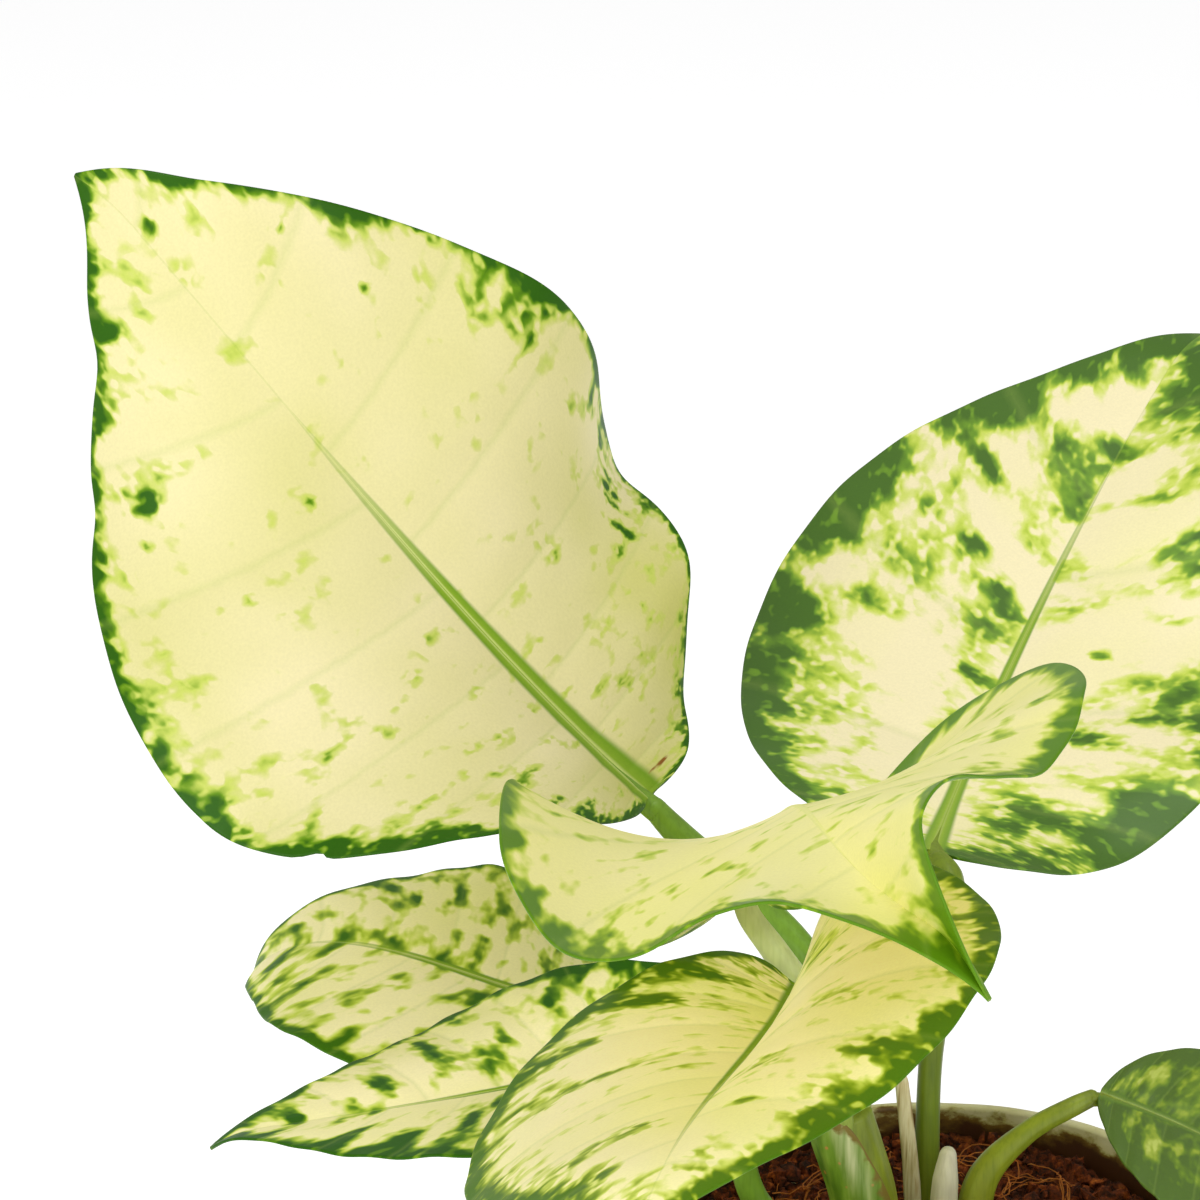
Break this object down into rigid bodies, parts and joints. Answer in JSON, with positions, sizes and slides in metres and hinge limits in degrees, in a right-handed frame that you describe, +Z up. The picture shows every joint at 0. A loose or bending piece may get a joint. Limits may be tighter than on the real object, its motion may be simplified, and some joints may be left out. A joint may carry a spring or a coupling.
{
  "type": "potted variegated chinese evergreen",
  "caption": "Small potted aroid house plant: broad cream leaves with green margins and blotches on low green stalks, in a round nursery pot of coarse soil.",
  "frame": {"origin": "centre of the pot's flat underside", "axes": "+Z up along the pot's axis, -Y toward the viewer, +X to the viewer's right"},
  "size_m": [0.2696, 0.3324, 0.2942],
  "materials": {
    "pot_plastic": "thin cream nursery-pot plastic, stained green-brown at the rim",
    "soil": "coarse reddish brown coir and bark potting mix",
    "green_stalk": "smooth mid green leaf stalk, faintly striped along its length",
    "pale_stalk": "pale whitish green leaf stalk",
    "cream_leaf": "satin cream leaf with a dark green margin and soft green blotches along the side veins",
    "lime_leaf": "satin lime yellow young leaf with a thin green margin",
    "green_leaf": "satin dark green leaf with a few lime patches",
    "dry_husk": "dry papery old sheath and cut stalk",
    "sprout": "smooth whitish new sprout"
  },
  "bodies": {
    "root": {"pot": "pot_plastic", "soil": "soil", "main_shoot": "green_stalk", "torn_sheath": "green_stalk", "blade_a": "cream_leaf", "stalk_a": "green_stalk", "blade_b": "cream_leaf", "stalk_b": "green_stalk", "blade_c": "lime_leaf", "stalk_c": "pale_stalk", "blade_d": "cream_leaf", "stalk_d": "green_stalk", "blade_e": "cream_leaf", "stalk_e": "green_stalk", "blade_f": "cream_leaf", "stalk_f": "green_stalk", "blade_g": "green_leaf", "stalk_g": "green_stalk", "dry_strip": "dry_husk", "white_sprout": "sprout", "cut_stub": "dry_husk"}
  },
  "joints": []
}
